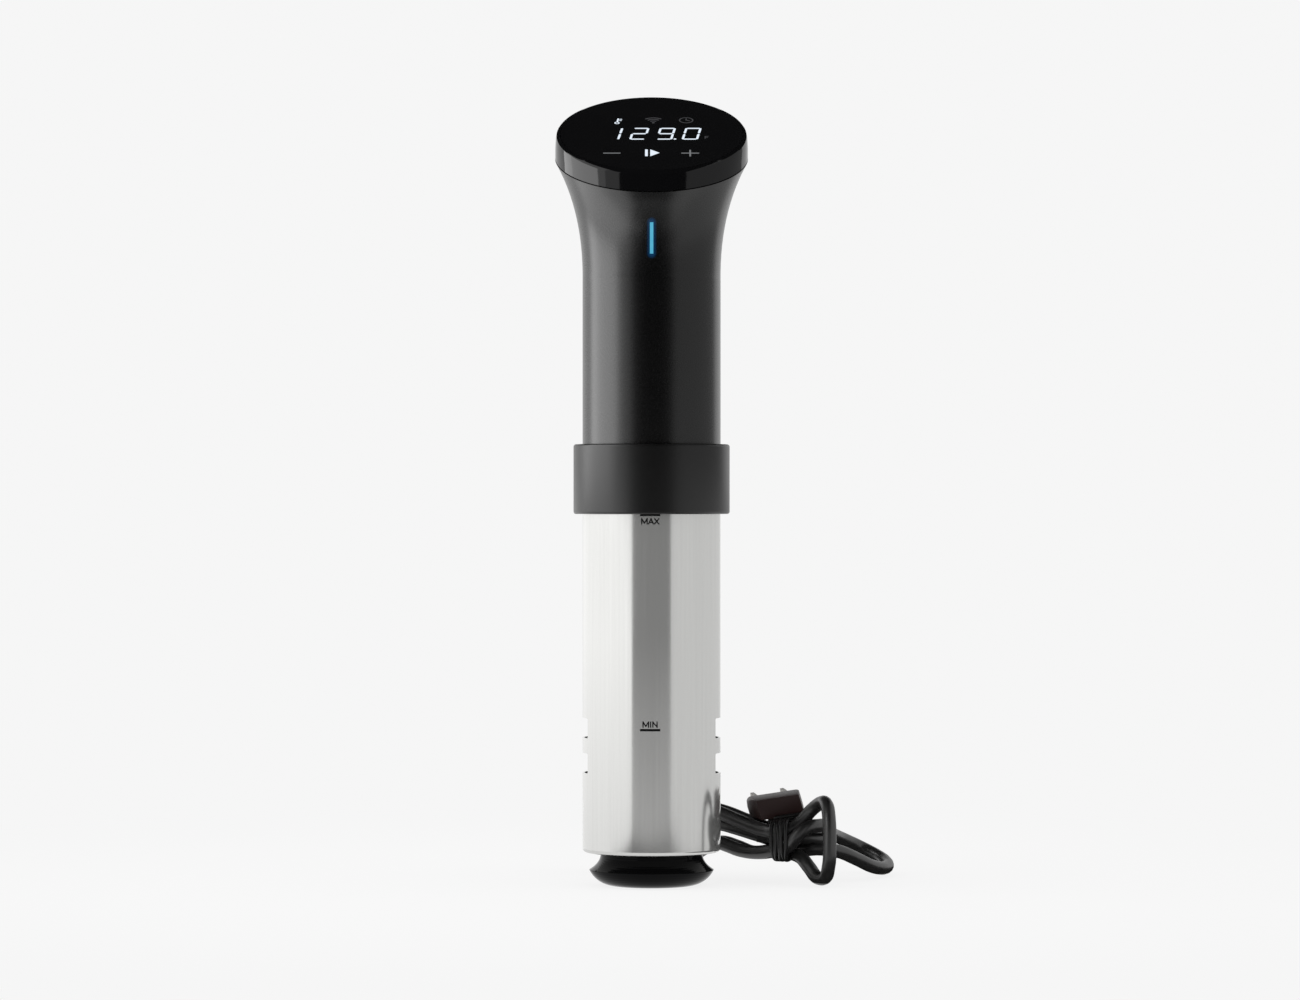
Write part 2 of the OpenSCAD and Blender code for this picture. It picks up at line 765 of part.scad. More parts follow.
module clamp_pad() {
  color([0.14, 0.14, 0.15]) translate([0, pad_y, screw_z]) rotate([-90, 0, 0]) difference() {
    rotate_extrude() {
      square([8, pad_t]);
      translate([0, 1]) square([9, pad_t - 1]);
      translate([8, 1]) circle(1);
    }
    translate([0, 0, 1.3]) cylinder(h = pad_t, r = 2.6 + run_gap);
  }
}

module clamp_knob() {
  lobes = 8;
  color([0.1, 0.1, 0.1]) translate([0, knob_y, screw_z]) rotate([-90, 0, 0]) difference() {
    rotate_extrude() {
      square([knob_d / 2 - 2, knob_t]);
      translate([0, 2]) square([knob_d / 2, knob_t - 4]);
      translate([knob_d / 2 - 2, 2]) circle(2);
      translate([knob_d / 2 - 2, knob_t - 2]) circle(2);
    }
    translate([0, 0, -over]) cylinder(h = 6 + over, d = screw_d);
    translate([0, 0, knob_t - 1.2]) cylinder(h = 3, r = knob_d / 2 - 5);
    for (i = [0:lobes - 1]) rotate([0, 0, i * 360 / lobes])
      translate([knob_d / 2 + 2.2, 0, -over]) cylinder(h = knob_t + 2 * over, r = 3.4);
  }
}

// ---- cord ----

function unit(v) = v / norm(v);
// A point of the smooth curve through the route, at place u along its points
function spline(p, u) =
  let (n = len(p) - 1, i = min(floor(u), n - 1), t = u - i,
    a = p[max(i - 1, 0)], b = p[i], c = p[i + 1], d = p[min(i + 2, n)])
  0.5 * (2 * b + (c - a) * t + (2 * a - 5 * b + 4 * c - d) * t * t
    + (3 * b - a - 3 * c + d) * t * t * t);
// The direction across the cord that stays nearest to the one before
function carry(side, dir) = unit(side - (side * dir) * dir);
function sides_along(dirs, i, side) =
  i == len(dirs) ? [] :
    let (s = carry(side, dirs[i])) concat([s], sides_along(dirs, i + 1, s));

module sweep_cord(route, r, per_span, sides) {
  last = len(route) - 1;
  path = [for (i = [0:last * per_span]) spline(route, i / per_span)];
  n = len(path) - 1;
  dirs = [for (i = [0:n]) unit(path[min(i + 1, n)] - path[max(i - 1, 0)])];
  across = sides_along(dirs, 0, [1, 0, 0]);
  circles = [for (i = [0:n]) [for (k = [0:sides - 1]) let (a = -k * 360 / sides)
    path[i] + r * (cos(a) * across[i] + sin(a) * cross(dirs[i], across[i]))]];
  skin_circles(circles);
}

module power_cord() {
  color([0.09, 0.09, 0.09]) sweep_cord(cord_route, cord_d / 2, 2, 10);
}

module plug_tail() {
  color([0.09, 0.09, 0.09]) sweep_cord(tail_route, cord_d / 2, 2, 8);
}

// Outer shape of the folded cord: the tied strands, an upright loop and a flat loop
module cord_hank() {
  color([0.09, 0.09, 0.09]) {
    translate([hank_left[0], hank_left[1], 0]) rotate([90, 0, hank_turn])
      translate([0, 0, -hank_t / 2]) linear_extrude(hank_t) {
        translate(left_fold) circle(left_fold[1]);
        polygon(hank_side);
      }
    translate([57.5, 0, 0]) rotate([90, 0, 90]) linear_extrude(9)
      translate([5, 17.5]) rounded_square(19, 25, 6);
    translate([66, 0, 0]) rotate([90, 0, 90]) linear_extrude(10)
      translate([-3, 18.4]) rounded_square(28, 36.8, 9);
    translate([70, 6, 0]) rotate([90, 0, -21]) translate([0, 0, -66.4]) linear_extrude(67)
      polygon(fan_side);
  }
}

module cord_tie() {
  wrap_t = 1.5;
  color([0.05, 0.05, 0.05]) translate([hank_right[0], hank_right[1], tie_z])
    rotate([0, 0, hank_turn]) rotate([90, 0, 90]) translate([0, 0, -4]) linear_extrude(8)
      difference() {
        rounded_square(hank_t + 0.2 + 2 * wrap_t, 14.2 + 2 * wrap_t, 5.5);
        rounded_square(hank_t + 0.2, 14.2, 4);
      }
}

module on_plug() {
  translate(plug_place) rotate([0, -plug_roll, 0]) rotate([plug_lift, 0, plug_turn])
    children();
}

// A moulded block whose two ends slant in towards the side away from the blades
module plug_body() {
  color([0.12, 0.08, 0.07]) on_plug() difference() {
    rotate([90, 0, 0]) translate([0, 0, -plug_t / 2]) linear_extrude(plug_t)
      rounded_square(plug_w, plug_h, 2);
    for (side = [-1, 1]) translate([side * plug_w / 2, plug_t / 2, 0])
      rotate([0, -plug_lean, -side * plug_taper]) translate([side * plug_t, 0, 0])
        cube([2 * plug_t, 4 * plug_t, 2 * plug_h], center = true);
  }
}

module plug_blades() {
  blade_t = 1.5;
  blade_w = 6.3;
  blade_l = 16;
  color([0.75, 0.72, 0.65]) on_plug() for (x = [-1, 1])
    translate([x * blade_pitch / 2 - blade_t / 2, plug_t / 2, -blade_w / 2])
      cube([blade_t, blade_l, blade_w]);
}

touch_panel();
bezel_ring();
display_board();
digit_module();
icon_guide();
handle_shell();
light_pipe();
light_board();
control_board();
board_parts();
heat_sink();
board_bracket();
motor_can();
motor_plate();
motor_screws();
motor_spindle();
shaft_coupling();
drive_shaft();
impeller();
lower_neck();
neck_seal();
shaft_seal();
heater_flange();
flange_screws();
heater_element();
temperature_probe();
level_pins();
shaft_tube();
lower_bearing();
skirt();
foot_cap();
foot_seal();
clamp_ring();
ring_liner();
jaw_pad();
screw_nut();
clamp_pad();
clamp_screw();
clamp_knob();
strain_relief();
power_cord();
cord_hank();
cord_tie();
plug_tail();
plug_body();
plug_blades();
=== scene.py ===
# Sous vide circulator: finishes, display marks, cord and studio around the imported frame
import math
import bpy
from mathutils import Matrix, Vector


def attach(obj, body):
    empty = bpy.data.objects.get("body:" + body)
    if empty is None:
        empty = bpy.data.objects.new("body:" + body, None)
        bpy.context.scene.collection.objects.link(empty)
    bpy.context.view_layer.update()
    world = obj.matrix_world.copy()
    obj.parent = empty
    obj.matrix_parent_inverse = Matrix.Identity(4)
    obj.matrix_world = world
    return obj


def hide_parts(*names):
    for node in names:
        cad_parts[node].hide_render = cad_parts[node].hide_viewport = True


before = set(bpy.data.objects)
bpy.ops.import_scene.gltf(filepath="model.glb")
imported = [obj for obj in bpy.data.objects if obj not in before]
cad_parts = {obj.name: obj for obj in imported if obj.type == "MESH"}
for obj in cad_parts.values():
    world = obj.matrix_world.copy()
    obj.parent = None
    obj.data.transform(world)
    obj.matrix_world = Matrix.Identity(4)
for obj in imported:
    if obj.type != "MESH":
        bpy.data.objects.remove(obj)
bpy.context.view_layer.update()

mm = 0.001
print("frame loaded:", len(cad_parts), "nodes")


def point(x, y, z):
    return Vector((x, y, z)) * mm


def clearSelection():
    if bpy.context.object and bpy.context.object.mode != "OBJECT":
        bpy.ops.object.mode_set(mode="OBJECT")
    bpy.ops.object.select_all(action="DESELECT")


def pick(piece):
    clearSelection()
    piece.select_set(True)
    bpy.context.view_layer.objects.active = piece


def settle(piece, name):
    # the piece's place goes into its mesh, and it gets its name
    pick(piece)
    bpy.ops.object.transform_apply(location=True, rotation=True, scale=True)
    piece.name = name
    piece.data.name = name
    return piece


def joinPieces(pieces, name):
    clearSelection()
    for piece in pieces:
        piece.select_set(True)
    bpy.context.view_layer.objects.active = pieces[0]
    if len(pieces) > 1:
        bpy.ops.object.join()
    return settle(bpy.context.object, name)


def dress(piece, material):
    piece.data.materials.clear()
    piece.data.materials.append(material)


cameraLook = {"lens": 125.7, "sensor": 36.0, "distance": 1.8541, "height": 0.1573, "side": -0.00065}


def makeCamera():
    data = bpy.data.cameras.new("studioCamera")
    data.lens = cameraLook["lens"]
    data.sensor_width = cameraLook["sensor"]
    camera = bpy.data.objects.new("studioCamera", data)
    bpy.context.scene.collection.objects.link(camera)
    camera.location = (cameraLook["side"], -cameraLook["distance"], cameraLook["height"])
    camera.rotation_euler = (math.radians(90), 0, 0)
    bpy.context.scene.camera = camera


makeCamera()
print("camera made")


def shaderNodes(name):
    material = bpy.data.materials.new(name)
    material.use_nodes = True
    nodes = material.node_tree.nodes
    links = material.node_tree.links
    return material, nodes, links, nodes["Principled BSDF"]


def noiseAt(nodes, links, scale, stretch=(1, 1, 1), detail=4):
    place = nodes.new("ShaderNodeTexCoord")
    mapping = nodes.new("ShaderNodeMapping")
    mapping.inputs["Scale"].default_value = stretch
    noise = nodes.new("ShaderNodeTexNoise")
    noise.inputs["Scale"].default_value = scale
    noise.inputs["Detail"].default_value = detail
    links.new(place.outputs["Object"], mapping.inputs["Vector"])
    links.new(mapping.outputs["Vector"], noise.inputs["Vector"])
    return noise


def spreadTo(nodes, links, source, low, high, fromLow=.3, fromHigh=.7):
    # unless told otherwise, takes the range that noise mostly stays in
    spread = nodes.new("ShaderNodeMapRange")
    spread.inputs["From Min"].default_value = fromLow
    spread.inputs["From Max"].default_value = fromHigh
    spread.inputs["To Min"].default_value = low
    spread.inputs["To Max"].default_value = high
    links.new(source, spread.inputs["Value"])
    return spread.outputs["Result"]


def blendColours(nodes, links, fac, first, second):
    mix = nodes.new("ShaderNodeMix")
    mix.data_type = "RGBA"
    mix.inputs["A"].default_value = (*first, 1)
    mix.inputs["B"].default_value = (*second, 1)
    links.new(fac, mix.inputs["Factor"])
    return mix.outputs["Result"]


def addBump(nodes, links, shader, height, strength, distance):
    bump = nodes.new("ShaderNodeBump")
    bump.inputs["Strength"].default_value = strength
    bump.inputs["Distance"].default_value = distance
    links.new(height, bump.inputs["Height"])
    links.new(bump.outputs["Normal"], shader.inputs["Normal"])


# what a finish has when its own entry doesn't say
plainLook = {"stretch": (1, 1, 1), "drift": 60, "metal": 0, "specular": .5, "ior": 1.5,
             "bump": 0, "depth": .0001}


def makeFinish(name, ownLook):
    # colour drifts slowly over the piece, roughness and bump follow a finer grain
    look = {**plainLook, **ownLook}
    material, nodes, links, shader = shaderNodes(name)
    grain = noiseAt(nodes, links, look["grain"], look["stretch"])
    drift = noiseAt(nodes, links, look["drift"], look["stretch"], detail=2)
    links.new(spreadTo(nodes, links, grain.outputs["Fac"], *look["rough"]),
              shader.inputs["Roughness"])
    links.new(blendColours(nodes, links, drift.outputs["Fac"], look["colour"], look["shade"]),
              shader.inputs["Base Color"])
    shader.inputs["Metallic"].default_value = look["metal"]
    shader.inputs["Specular IOR Level"].default_value = look["specular"]
    shader.inputs["IOR"].default_value = look["ior"]
    if look["bump"]:
        addBump(nodes, links, shader, grain.outputs["Fac"], look["bump"], look["depth"])
    return material


finishLooks = {
    "satinBlack": {"colour": (.002, .002, .0021), "shade": (.0035, .0035, .0036),
                   "rough": (.26, .3), "grain": 3200, "bump": .05, "specular": .68, "ior": 1.6},
    "collarBlack": {"colour": (.002, .002, .0021), "shade": (.0035, .0035, .0036),
                    "rough": (.33, .38), "grain": 2800, "bump": .06, "specular": .55, "ior": 1.6},
    "glossBlack": {"colour": (.003, .003, .0033), "shade": (.0045, .0045, .005),
                   "rough": (.05, .09), "grain": 300, "specular": .62},
    "footBlack": {"colour": (.002, .002, .0022), "shade": (.0035, .0035, .0038),
                  "rough": (.08, .13), "grain": 420, "bump": .02, "specular": .07},
    "turnedSteel": {"colour": (.62, .62, .63), "shade": (.55, .55, .57), "metal": 1,
                    "rough": (.2, .32), "grain": 260, "stretch": (1, 1, 9)},
    "heaterSteel": {"colour": (.5, .47, .44), "shade": (.38, .34, .31), "metal": 1,
                    "rough": (.28, .45), "grain": 220, "drift": 30},
    "brass": {"colour": (.72, .5, .2), "shade": (.6, .4, .16), "metal": 1,
              "rough": (.22, .35), "grain": 500},
    # plug blade metal with painted shade: coloured far darker than bare metal for the shadow the
    # blades sit in
    "shadeDarkenedBladeMetal": {"colour": (.13, .115, .09), "shade": (.09, .08, .06), "metal": 1,
                   "rough": (.25, .4), "grain": 900, "stretch": (1, 1, .2)},
    "rubber": {"colour": (.008, .008, .0085), "shade": (.014, .014, .0145),
               "rough": (.6, .75), "grain": 1800, "bump": .15},
    "redSilicone": {"colour": (.3, .05, .03), "shade": (.22, .035, .025),
                    "rough": (.45, .6), "grain": 900, "bump": .05},
    "boardGreen": {"colour": (.012, .09, .035), "shade": (.02, .12, .05),
                   "rough": (.3, .45), "grain": 700, "drift": 500},
    "darkPlastic": {"colour": (.03, .03, .032), "shade": (.042, .042, .044),
                    "rough": (.45, .6), "grain": 1500, "bump": .08},
    "paleNylon": {"colour": (.68, .66, .6), "shade": (.6, .58, .52),
                  "rough": (.4, .55), "grain": 1200, "bump": .05},
    "aluminium": {"colour": (.66, .66, .68), "shade": (.58, .58, .6), "metal": 1,
                  "rough": (.3, .45), "grain": 500, "stretch": (1, 1, .1)},
    "plugBrown": {"colour": (.018, .0058, .005), "shade": (.024, .009, .008),
                  "rough": (.36, .48), "grain": 1600, "bump": .06, "specular": .35},
    "tieBlack": {"colour": (.004, .004, .004), "shade": (.007, .007, .007),
                 "rough": (.34, .46), "grain": 1500, "bump": .08, "specular": .6},
    "markInk": {"colour": (.004, .004, .004), "shade": (.008, .008, .008),
                "rough": (.5, .6), "grain": 2000, "specular": .06},
}
finishes = {name: makeFinish(name, look) for name, look in finishLooks.items()}

skirtLook = {"colour": (.8, .8, .785), "shade": (.72, .72, .705), "rough": (.12, .18), "metal": .86,
             "anisotropy": .35, "lineScale": 900, "lineStretch": .012, "patchScale": 35,
             "patchStretch": .4, "bump": .05, "depth": .00005}


def makeSkirtSteel():
    # fine drawn lines run along the tube, with broad faint patches over them
    material, nodes, links, shader = shaderNodes("skirtSteel")
    lines = noiseAt(nodes, links, skirtLook["lineScale"], (1, 1, skirtLook["lineStretch"]),
                    detail=5)
    patches = noiseAt(nodes, links, skirtLook["patchScale"], (1, 1, skirtLook["patchStretch"]),
                      detail=2)
    shader.inputs["Metallic"].default_value = skirtLook["metal"]
    shader.inputs["Anisotropic"].default_value = skirtLook["anisotropy"]
    tone = blendColours(nodes, links, lines.outputs["Fac"], skirtLook["shade"], skirtLook["colour"])
    links.new(tone, shader.inputs["Base Color"])
    links.new(spreadTo(nodes, links, patches.outputs["Fac"], *skirtLook["rough"]),
              shader.inputs["Roughness"])
    addBump(nodes, links, shader, lines.outputs["Fac"], skirtLook["bump"], skirtLook["depth"])
    return material


glassLook = {"colour": (.004, .004, .0045), "shade": (.006, .006, .0065), "rough": (.02, .06),
             "hazeScale": 90, "specular": .35}


def makeGlass():
    # smooth black glass with a little handling haze
    material, nodes, links, shader = shaderNodes("displayGlass")
    haze = noiseAt(nodes, links, glassLook["hazeScale"], detail=6)
    links.new(spreadTo(nodes, links, haze.outputs["Fac"], *glassLook["rough"]),
              shader.inputs["Roughness"])
    links.new(blendColours(nodes, links, haze.outputs["Fac"], glassLook["colour"],
                           glassLook["shade"]), shader.inputs["Base Color"])
    shader.inputs["Specular IOR Level"].default_value = glassLook["specular"]
    return material


# painted glow: light from the lit bar painted onto the handle; the bar's ends in height, and how
# far from it the painted glow starts to fade and ends, in metres
barGlowPaintLook = {"low": .2564, "high": .2689, "near": .0007, "far": .0021, "colour": (0, .1, .3),
            "strength": .3}


def paintBarGlow(material):
    # painted glow: the lit bar's light painted onto the handle's front as emission, fading away
    # from the bar
    nodes, links = material.node_tree.nodes, material.node_tree.links
    shader = nodes["Principled BSDF"]
    place = nodes.new("ShaderNodeTexCoord")
    axes = nodes.new("ShaderNodeSeparateXYZ")
    links.new(place.outputs["Object"], axes.inputs["Vector"])
    inside = nodes.new("ShaderNodeClamp")
    inside.inputs["Min"].default_value = barGlowPaintLook["low"]
    inside.inputs["Max"].default_value = barGlowPaintLook["high"]
    links.new(axes.outputs["Z"], inside.inputs["Value"])
    past = nodes.new("ShaderNodeMath")
    past.operation = "SUBTRACT"
    links.new(axes.outputs["Z"], past.inputs[0])
    links.new(inside.outputs["Result"], past.inputs[1])
    away = nodes.new("ShaderNodeCombineXYZ")
    links.new(axes.outputs["X"], away.inputs["X"])
    links.new(past.outputs["Value"], away.inputs["Z"])
    reach = nodes.new("ShaderNodeVectorMath")
    reach.operation = "LENGTH"
    links.new(away.outputs["Vector"], reach.inputs[0])
    glow = spreadTo(nodes, links, reach.outputs["Value"], barGlowPaintLook["strength"], 0,
                    barGlowPaintLook["near"], barGlowPaintLook["far"])
    front = nodes.new("ShaderNodeMath")
    front.operation = "LESS_THAN"
    front.inputs[1].default_value = 0
    links.new(axes.outputs["Y"], front.inputs[0])
    both = nodes.new("ShaderNodeMath")
    both.operation = "MULTIPLY"
    links.new(glow, both.inputs[0])
    links.new(front.outputs["Value"], both.inputs[1])
    links.new(both.outputs["Value"], shader.inputs["Emission Strength"])
    shader.inputs["Emission Color"].default_value = (*barGlowPaintLook["colour"], 1)


glowLooks = {
    "digitWhite": {"colour": (.86, .93, 1), "edge": (.76, .86, .98), "strength": 1, "grain": 900},
    "iconGrey": {"colour": (.1, .1, .105), "edge": (.07, .07, .075), "strength": .6, "grain": 900},
    "keyGrey": {"colour": (.32, .33, .34), "edge": (.26, .27, .28), "strength": .6, "grain": 900},
    "lightBlue": {"colour": (.1, .46, .64), "edge": (.07, .38, .58), "strength": 1, "grain": 300},
}
unlitLook = {"colour": (.01, .01, .012), "specular": .1, "rough": .4}


def makeGlow(name, look):
    # lit surface: a fine unevenness between its two tones
    material, nodes, links, shader = shaderNodes(name)
    cloud = noiseAt(nodes, links, look["grain"], detail=2)
    tone = blendColours(nodes, links, cloud.outputs["Fac"], look["edge"], look["colour"])
    links.new(tone, shader.inputs["Emission Color"])
    shader.inputs["Base Color"].default_value = (*unlitLook["colour"], 1)
    shader.inputs["Emission Strength"].default_value = look["strength"]
    shader.inputs["Specular IOR Level"].default_value = unlitLook["specular"]
    shader.inputs["Roughness"].default_value = unlitLook["rough"]
    return material


cordLook = {"colour": (.007, .0068, .0067), "shade": (.016, .0154, .0152), "rough": (.3, .4),
            "specular": 1, "rippleScale": 420, "bump": .12, "depth": .0002}


def makeCordSheath():
    # extruded sheath: a soft sheen and faint ripples
    material, nodes, links, shader = shaderNodes("cordSheath")
    ripple = noiseAt(nodes, links, cordLook["rippleScale"], detail=3)
    links.new(spreadTo(nodes, links, ripple.outputs["Fac"], *cordLook["rough"]),
              shader.inputs["Roughness"])
    links.new(blendColours(nodes, links, ripple.outputs["Fac"], cordLook["colour"],
                           cordLook["shade"]), shader.inputs["Base Color"])
    addBump(nodes, links, shader, ripple.outputs["Fac"], cordLook["bump"], cordLook["depth"])
    shader.inputs["Specular IOR Level"].default_value = cordLook["specular"]
    return material


finishes["skirtSteel"] = makeSkirtSteel()
finishes["displayGlass"] = makeGlass()
finishes["cordSheath"] = makeCordSheath()
# painted glow of the lit bar on the satin handle
paintBarGlow(finishes["satinBlack"])
finishes.update({name: makeGlow(name, look) for name, look in glowLooks.items()})
print("finishes made:", len(finishes))

nodeFinish = {
    "touch_panel": "displayGlass", "bezel_ring": "glossBlack", "handle_shell": "satinBlack",
    "light_pipe": "lightBlue", "clamp_ring": "collarBlack", "clamp_knob": "collarBlack",
    "ring_liner": "darkPlastic", "skirt": "skirtSteel", "foot_cap": "footBlack",
    "strain_relief": "rubber", "jaw_pad": "rubber", "clamp_pad": "rubber", "foot_seal": "rubber",
    "shaft_seal": "rubber", "cord_tie": "rubber", "neck_seal": "redSilicone",
    "screw_nut": "brass", "shaft_coupling": "brass", "plug_blades": "shadeDarkenedBladeMetal",
    "heater_element": "heaterSteel", "heat_sink": "aluminium", "motor_can": "aluminium",
    "display_board": "boardGreen", "light_board": "boardGreen", "control_board": "boardGreen",
    "board_parts": "darkPlastic", "board_bracket": "darkPlastic", "digit_module": "darkPlastic",
    "impeller": "darkPlastic", "lower_neck": "darkPlastic", "icon_guide": "paleNylon",
    "lower_bearing": "paleNylon", "plug_body": "plugBrown", "power_cord": "cordSheath",
    "cord_hank": "cordSheath", "plug_tail": "cordSheath",
}
for nodeName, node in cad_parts.items():
    dress(node, finishes[nodeFinish.get(nodeName, "turnedSteel")])


cordLayout = {
    "diameter": 5.6, "handle": .36,
    "exit": (0, 57.94, 269.13),
    # down behind the body, clear of the clamp
    "drop": [(0, 68.8, 264.06), (-4, 77, 252), (-10, 80, 237), (-16, 77, 219), (-20, 71, 199),
             (-22.5, 65, 177), (-23, 61, 154), (-23, 59, 130), (-23, 58, 105), (-23, 58, 80),
             (-23, 57.5, 58), (-21.5, 56, 38), (-16.5, 52.5, 21), (-6, 46, 10)],
    # the folded hank: where it starts, and the ways along and across it
    "hankStart": (-12, 62), "along": (.797, -.604), "across": (.604, .797),
    # the folds in order: strands and folds are places in the hank, the others plain places
    "folds": {
        "firstStrand": [(22, -6.5, 7.5), (34, -5.5, 11.5), (44, -5, 15), (51, -5, 16),
                        (58, -5, 14.5), (65, -5.3, 12.8), (73, -5.6, 12.3), (83, -6.2, 13.6)],
        "flatLoop": [(56, 1.7, 15.9), (59.2, -.6, 19.9), (63.3, .5, 23.2), (68.3, 5.2, 23.9),
                     (71.8, 16, 22.8), (74, 34, 19.3), (76.5, 50, 16.8), (81, 60, 14.2),
                     (87.5, 65.8, 10.9), (94.3, 62.6, 7.6), (98.7, 51.5, 4.8), (96.9, 39.5, 3.8),
                     (91.2, 28.5, 5.5), (84, 20, 9.4), (76.8, 14.2, 12.7), (70, 11.7, 13.9)],
        "secondStrand": [(83, 6.4, 13.4), (75, 4, 16.8), (66, 2, 19.4), (58, 1.5, 21.2),
                         (50, 1.5, 22.6)],
        "foldA": [(39, 1, 22.5), (28, .5, 17.5), (18, 0, 10.5), (8, 0, 5.4), (-3, -.5, 6.5),
                  (-10, -1.5, 14), (-11, -2.5, 24), (-5.5, -3.5, 32.5), (5, -4, 36), (17, -3.5, 36),
                  (29, -3, 33.6), (41, -2.5, 30.6)],
        "thirdStrand": [(52.7, -2, 27.4), (62.5, -2, 24.4), (69, -2.2, 22.6), (77, -3, 21.2),
                        (83, -4.2, 21.2)],
        "uprightLoop": [(56.3, 6.7, 21.9), (61.2, 7.6, 25.3), (65.6, 6.9, 30.2), (69.3, 2.5, 33.4),
                        (71.3, -5, 33), (72.1, -11.3, 27), (72.2, -14, 18), (71.8, -13.8, 9),
                        (70.6, -11.2, 4.2), (67.6, -6.9, 3.6), (64.3, -1.8, 7.4), (60.8, 4, 11.2)],
        "fourthStrand": [(83, 0, 12.4), (75, 1.3, 12.4), (66, 2, 11.7), (58, 2.5, 13.6),
                         (50, 3, 15), (42, 4.5, 13)],
        "foldB": [(32, 6, 8.5), (20, 6.5, 4.5), (8, 6.5, 3.4), (-3, 6.5, 7), (-10, 6.5, 15),
                  (-10.5, 6.5, 25), (-4.5, 6, 32.5), (6, 5.5, 35.5), (18, 5, 34.8), (29, 4.8, 32),
                  (40, 5, 29.4)],
        "fifthStrand": [(52, 5, 27), (62, 4.2, 24.4), (72, 3.6, 22), (83, 2.6, 20.4)],
        "tail": [(61.4, 11.7, 18.9), (66.6, 12.5, 18), (70.3, 16.3, 17.4), (70.4, 21.6, 17.8),
                 (67, 25.4, 19.4), (62.5, 25.6, 22.6), (60, 23.6, 25.6), (59.4, 22.4, 28)],
    },
    "plain": ("flatLoop", "uprightLoop", "tail"),
}


def hank(s, n, z):
    # a place in the folded hank: s along it, n across it, z up
    start, along, across = cordLayout["hankStart"], cordLayout["along"], cordLayout["across"]
    return (start[0] + s * along[0] + n * across[0], start[1] + s * along[1] + n * across[1], z)


def cordPoints():
    places = [cordLayout["exit"]] + cordLayout["drop"]
    for name, fold in cordLayout["folds"].items():
        places += fold if name in cordLayout["plain"] else [hank(*place) for place in fold]
    return places


def makeCord():
    places = [point(*place) for place in cordPoints()]
    curve = bpy.data.curves.new("powerLead", "CURVE")
    curve.dimensions = "3D"
    curve.resolution_u = 6
    curve.bevel_depth = cordLayout["diameter"] / 2 * mm
    curve.bevel_resolution = 6
    curve.use_fill_caps = True
    spline = curve.splines.new("BEZIER")
    spline.bezier_points.add(len(places) - 1)
    for i, knot in enumerate(spline.bezier_points):
        # each handle is a share of its own span, along the slope the two spans share
        back = places[i] - places[max(i - 1, 0)]
        on = places[min(i + 1, len(places) - 1)] - places[i]
        back, on = (back or on), (on or back)
        slope = (back.normalized() * on.length + on.normalized() * back.length).normalized()
        knot.co = places[i]
        knot.handle_left_type = knot.handle_right_type = "FREE"
        knot.handle_left = places[i] - slope * back.length * cordLayout["handle"]
        knot.handle_right = places[i] + slope * on.length * cordLayout["handle"]
    lead = bpy.data.objects.new("powerLead", curve)
    bpy.context.scene.collection.objects.link(lead)
    lead.data.materials.append(finishes["cordSheath"])
    return lead, spline.calc_length()


tieLook = {
    "wire": 1.7, "steps": 20, "squareness": .62,
    # round the hank's strands
    "winding": {"along": 82.6, "height": 17.6, "across": 10.2, "up": 8.1, "turns": 7, "width": 7,
                "sway": .8, "swayRate": 1.4, "swayStart": 1, "skew": .5},
    # under the plug
    "collar": {"middle": (56.2, 19.2), "size": (7.6, 5.4), "low": 23.4, "rise": 4.6, "turns": 4.5,
               "tilt": 8},
    # the wire's flat end
    "end": {"place": (73.4, -1, 17.6), "turn": -37, "size": (6, 1, 2.9), "bevel": .25},
}


def wireThrough(places, thick, name):
    curve = bpy.data.curves.new(name, "CURVE")
    curve.dimensions = "3D"
    curve.resolution_u = 2
    curve.bevel_depth = thick / 2 * mm
    curve.bevel_resolution = 3
    curve.use_fill_caps = True
    spline = curve.splines.new("NURBS")
    spline.points.add(len(places) - 1)
    for knot, place in zip(spline.points, places):
        knot.co = (*point(*place), 1)
    spline.use_endpoint_u = True
    spline.order_u = 4
    wire = bpy.data.objects.new(name, curve)
    bpy.context.scene.collection.objects.link(wire)
    pick(wire)
    bpy.ops.object.convert(target="MESH")
    return settle(bpy.context.object, name)


def boxy(value):
    # pushes a sine out towards the corners of a rounded square
    return math.copysign(abs(value) ** tieLook["squareness"], value)


def windingPlaces():
    # boxy turns round the strands, which sway a little and lean over
    winding = tieLook["winding"]
    places = []
    steps = winding["turns"] * tieLook["steps"]
    for i in range(steps + 1):
        turn = i / tieLook["steps"] * math.tau
        across = winding["across"] * boxy(math.cos(turn))
        along = (winding["width"] * (i / steps - .5)
                 + winding["sway"] * math.sin(turn * winding["swayRate"] + winding["swayStart"])
                 - winding["skew"] * across)
        places.append(hank(winding["along"] + along, across,
                           winding["height"] + winding["up"] * boxy(math.sin(turn))))
    return places


def collarPlaces():
    # turns that rise under the plug and tilt with it
    collar = tieLook["collar"]
    places = []
    steps = int(collar["turns"] * tieLook["steps"])
    slope = math.tan(math.radians(collar["tilt"]))
    for i in range(steps + 1):
        turn = i / tieLook["steps"] * math.tau
        x = collar["size"][0] * boxy(math.cos(turn))
        places.append((collar["middle"][0] + x,
                       collar["middle"][1] + collar["size"][1] * boxy(math.sin(turn)),
                       collar["low"] + collar["rise"] * i / steps + x * slope))
    return places


def makeTieEnd():
    end = tieLook["end"]
    clearSelection()
    bpy.ops.mesh.primitive_cube_add(size=1, location=point(*hank(*end["place"])),
                                    rotation=(0, 0, math.radians(end["turn"])))
    piece = bpy.context.object
    piece.scale = point(*end["size"])
    bpy.ops.object.transform_apply(location=False, rotation=False, scale=True)
    bpy.ops.object.mode_set(mode="EDIT")
    bpy.ops.mesh.select_all(action="SELECT")
    bpy.ops.mesh.bevel(offset=end["bevel"] * mm, segments=2, affect="EDGES")
    bpy.ops.object.mode_set(mode="OBJECT")
    return settle(piece, "tieEnd")


